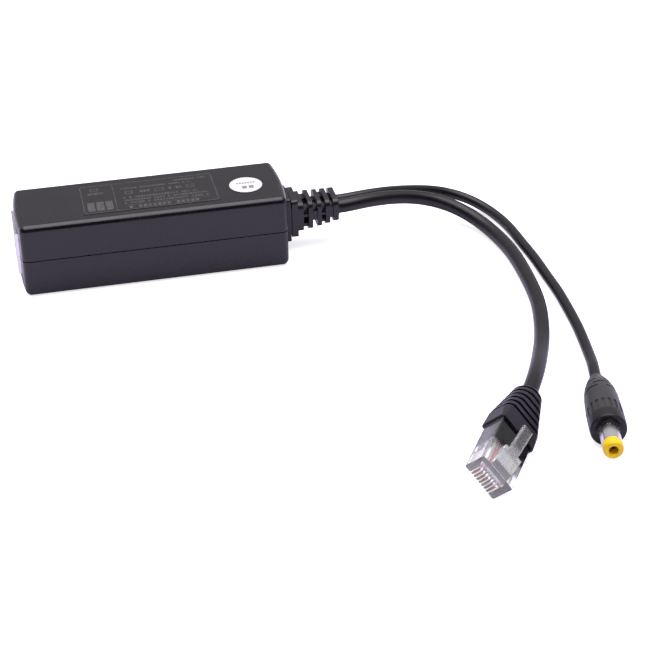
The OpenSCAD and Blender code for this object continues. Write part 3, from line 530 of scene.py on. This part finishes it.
# materials on the pieces
BLACK = (0.0058, 0.0046, 0.0085)
housing = plastic("housing_black", BLACK, 0.25, grain=5200.0, bump=0.1, spread=0.3, dust=0.025, tint=0.5)
dress(housing, "bottom_shell", "top_shell")
label = plastic("label_film", (0.006, 0.0052, 0.0068), 0.3, marks=label_marks, tint=0.3)
dress(label, "rating_label")
sticker = plastic("sticker_white", (0.86, 0.83, 0.86), 0.45, tint=0.02, marks=sticker_marks)
dress(sticker, "inspection_sticker")
relief = plastic("relief_black", BLACK, 0.34, grain=3000.0, worn=0.03)
dress(relief, "strain_relief")
jacket = plastic("lead_black", (0.006, 0.005, 0.0075), 0.36, grain=2600.0, bump=0.08, specular=0.42)
dress(jacket, net_lead, dc_lead)
boot = plastic("boot_black", (0.011, 0.008, 0.018), 0.4, grain=3400.0, worn=0.03)
dress(boot, "plug_boot")
# the handle's front collar carries painted shade
handle = plastic(
    "handle_black", (0.036, 0.034, 0.037), 0.42, grain=3000.0, bump=0.25, worn=0.03, marks=collar_painted_shade
)
dress(handle, "dc_handle")
nose = plastic("nose_yellow", (1.0, 0.66, 0.002), 0.28, tint=0.03)
dress(nose, "dc_insulator")

LEGS_BELOW = 5.9  # top of the chips' flat legs, in millimetres
for name, color, rough, pieces, legs in (
    ("insert_black", (0.01, 0.01, 0.011), 0.4, ("jack_insulator",), None),
    ("board_green", (0.02, 0.15, 0.06), 0.35, ("circuit_board",), None),
    ("chip_black", (0.02, 0.02, 0.021), 0.5, ("lan_transformer", "bridge_rectifiers", "controller_chip",
                                              "switching_transistor", "output_diode"), LEGS_BELOW),
    ("opto_white", (0.75, 0.74, 0.7), 0.45, ("optocoupler",), LEGS_BELOW),
    ("can_sleeve", (0.05, 0.05, 0.22), 0.3, ("input_capacitor",), None),
    ("can_sleeve_black", (0.03, 0.03, 0.035), 0.3, ("output_capacitors",), None),
    ("choke_black", (0.025, 0.025, 0.025), 0.55, ("input_choke", "output_choke"), None),
    ("ferrite", (0.05, 0.048, 0.046), 0.6, ("transformer_core",), None),
    ("former_brown", (0.07, 0.045, 0.03), 0.5, ("transformer_bobbin",), None),
    ("winding_tape", (0.75, 0.5, 0.05), 0.3, ("transformer_winding",), None),
    ("chip_tan", (0.45, 0.32, 0.2), 0.5, ("chip_capacitors",), None),
    ("chip_resistor", (0.02, 0.02, 0.022), 0.4, ("chip_resistors",), None),
    ("wire_power", (0.6, 0.03, 0.02), 0.4, ("power_wires",), None),
    ("wire_pairs", (0.65, 0.25, 0.06), 0.4, ("data_wires",), None),
):
    dress(plastic(name, color, rough, legs=legs), *pieces)
for name, color, rough, pieces in (
    ("sleeve_nickel", (0.88, 0.86, 0.87), 0.26, ("dc_sleeve",)),
    ("inner_brass", (1.0, 0.5, 0.08), 0.5, ("dc_inner_contact",)),
    ("contact_gold", (1.0, 0.88, 0.66), 0.32, ("plug_contacts", "jack_contacts")),
    ("shield_metal", (0.86, 0.85, 0.84), 0.28, ("jack_shield",)),
):
    dress(metal(name, color, rough, held=name == "sleeve_nickel"), *pieces)


# the plug's own axes, and where its zones of colour and of painted light begin
LEVEL_SIDE = Vector((-plug_dir.y, plug_dir.x, 0)).normalized()
PLUG_SIDE = Matrix.Rotation(math.radians(-PLUG_ROLL), 3, plug_dir) @ LEVEL_SIDE
PLUG_OUT = plug_dir.cross(PLUG_SIDE)
REAR_FADE = -9.6 * MM, -8.0 * MM
BODY_TOP, MIDDLE_HALF = 3.5 * MM, 1.15 * MM  # out from the plug's axis and across it
# painted: shade with the lead on the rear's broad faces, light on its narrow sides, a reflection in the
# latch's middle and highlights at its sides
REAR_LEAD_AND_SHADE, REAR_FLANK_LIGHT = (0.03, 0.03, 0.035), (0.4, 0.4, 0.41)
LATCH_SIDE_HIGHLIGHT, LATCH_MIDDLE_REFLECTION = (0.9, 0.9, 0.92), (0.42, 0.42, 0.43)
WIRES_HALF = 4.08 * MM


def plug_place(sh, place):
    """Place in the plug's own axes, in metres: along it, across it and out towards its latch."""
    local = sh.vmath("SUBTRACT", place, tuple((PLUG_POS + Vector((SHIFT, 0, 0))) * MM))
    return [sh.vmath("DOT_PRODUCT", local, tuple(axis)) for axis in (plug_dir, PLUG_SIDE, PLUG_OUT)]


def clear_plastic(name):
    """The clear moulding of the network plug, with what shows through its rear, and painted shade, light,
    reflection and highlights.
    """
    mat, sh, bsdf = material(name)
    place = sh.place()
    surface = use(sh, GRAIN, Place=place, Grain_Scale=1500.0, Roughness=0.05, Spread=0.06)
    edge = use(sh, WEAR, Place=place, Width=PLASTIC_EDGE)
    base = sh.mix(surface["Cloud"], (0.95, 0.96, 0.97), (0.99, 0.99, 0.99))
    # dark on the broad faces, as the lead shows there, with painted shade; paler on the narrow sides as
    # painted light; on the latch a painted reflection in the middle and painted highlights at the sides
    along, side, out = plug_place(sh, place)
    rear = sh.remap(along, *REAR_FADE, 1.0, 0.0, smooth=True)
    body = sh.math("LESS_THAN", out, BODY_TOP)
    normal = sh.add("ShaderNodeNewGeometry").outputs["Normal"]
    sideways = sh.math("ABSOLUTE", sh.vmath("DOT_PRODUCT", normal, tuple(PLUG_SIDE)))
    flank = sh.math("GREATER_THAN", sideways, 0.6)
    middle = sh.math("LESS_THAN", sh.math("ABSOLUTE", side), MIDDLE_HALF)
    latch = sh.mix(middle, LATCH_SIDE_HIGHLIGHT, LATCH_MIDDLE_REFLECTION)
    shade = sh.mix(body, latch, sh.mix(flank, REAR_LEAD_AND_SHADE, REAR_FLANK_LIGHT))
    sh.put(bsdf.inputs["Base Color"], sh.mix(rear, base, shade))
    bsdf.inputs["Transmission Weight"].default_value = 0.82
    bsdf.inputs["IOR"].default_value = 1.42
    sh.put(bsdf.inputs["Roughness"], surface["Roughness"])
    sh.put(bsdf.inputs["Normal"], sh.bump(surface["Height"], 0.08, GRAIN_DEPTH, edge["Normal"]))
    return mat


dress(clear_plastic("plug_clear"), "plug_body")


WIRE_COLORS = [
    (0.8, 0.62, 0.55), (0.8, 0.03, 0.04), (0.78, 0.8, 0.76), (0.7, 0.72, 0.8),
    (0.75, 0.77, 0.8), (0.68, 0.75, 0.68), (0.75, 0.7, 0.66), (0.55, 0.4, 0.32),
]


def wire_marks(sh, place, base):
    """Colours of the eight conductors, by their place across the plug."""
    across = sh.remap(plug_place(sh, place)[1], -WIRES_HALF, WIRES_HALF)
    ramp = sh.add("ShaderNodeValToRGB")
    ramp.color_ramp.interpolation = "CONSTANT"
    stops = ramp.color_ramp.elements  # a new ramp has two
    for k, color in enumerate(WIRE_COLORS):
        start = k / len(WIRE_COLORS)
        stop = stops[k] if k < 2 else stops.new(start)
        stop.position = start
        stop.color = (*color, 1)
    sh.put(ramp.inputs[0], across)
    return ramp.outputs[0]


dress(plastic("plug_wire", (0.7, 0.7, 0.7), 0.4, marks=wire_marks), "plug_wires")

# surroundings
FLOOR_HALF, FLOOR_DROP = 6.0, 0.00005
FLOOR_TINT, FLOOR_GLOW = (0.84, 0.79, 1.0), (0.75, 0.75, 0.75)
floor_data = bpy.data.meshes.new("floor")
corners = [(x * FLOOR_HALF, y * FLOOR_HALF, 0) for x, y in ((-1, -1), (1, -1), (1, 1), (-1, 1))]
floor_data.from_pydata(corners, [], [(0, 1, 2, 3)])
floor = bpy.data.objects.new("floor", floor_data)
floor.location.z = -FLOOR_DROP
bpy.context.scene.collection.objects.link(floor)
floor_white, sh, bsdf = material("floor_white")
sh.put(bsdf.inputs["Base Color"], FLOOR_TINT)
bsdf.inputs["Roughness"].default_value = 1.0
bsdf.inputs["Specular IOR Level"].default_value = 0.0
rays = sh.add("ShaderNodeLightPath").outputs
seen = sh.math("MAXIMUM", rays["Is Camera Ray"], rays["Is Transmission Ray"])
# the camera sees the floor brighter than it lights the object
sh.put(bsdf.inputs["Emission Color"], sh.mix(seen, (0.0, 0.0, 0.0), FLOOR_GLOW))
bsdf.inputs["Emission Strength"].default_value = 1.0
floor_data.materials.append(floor_white)

# a bright patch overhead, a dark room before the object and grey walls round the rest
OVERHEAD_LEVEL, FRONT_LEVEL, WALL_LEVEL = 4.0, 0.02, 0.55
OVERHEAD_AIM, FRONT_AIM = (0.03, 0.06, 0.997), (-0.2, -0.98, 0.0)
LIGHT_TINT = (0.99, 0.96, 1.0)
world = bpy.data.worlds.new("surroundings")
bpy.context.scene.world = world
world.use_nodes = True
world.node_tree.nodes.clear()
sh = Shader(world.node_tree)
direction = sh.add("ShaderNodeTexCoord").outputs["Generated"]
overhead = sh.remap(sh.vmath("DOT_PRODUCT", direction, OVERHEAD_AIM), 0.8, 0.88, smooth=True)
dark_front = sh.remap(sh.vmath("DOT_PRODUCT", direction, FRONT_AIM), -0.1, 0.3, smooth=True)
level = sh.blend(dark_front, WALL_LEVEL, FRONT_LEVEL)
level = sh.blend(overhead, level, OVERHEAD_LEVEL)
background = sh.add("ShaderNodeBackground")
sh.put(background.inputs["Color"], LIGHT_TINT)
sh.put(background.inputs["Strength"], level)
# the camera sees plain white instead, also through the clear plug
plain = sh.add("ShaderNodeBackground")
sh.put(plain.inputs["Color"], (1.0, 1.0, 1.0))
plain.inputs["Strength"].default_value = 1.0
rays = sh.add("ShaderNodeLightPath").outputs
choose = sh.add("ShaderNodeMixShader")
sh.put(choose.inputs[0], sh.math("MAXIMUM", rays["Is Camera Ray"], rays["Is Transmission Ray"]))
sh.put(choose.inputs[1], background.outputs[0])
sh.put(choose.inputs[2], plain.outputs[0])
out = sh.add("ShaderNodeOutputWorld")
sh.put(out.inputs[0], choose.outputs[0])

bpy.context.scene.view_settings.view_transform = "Standard"
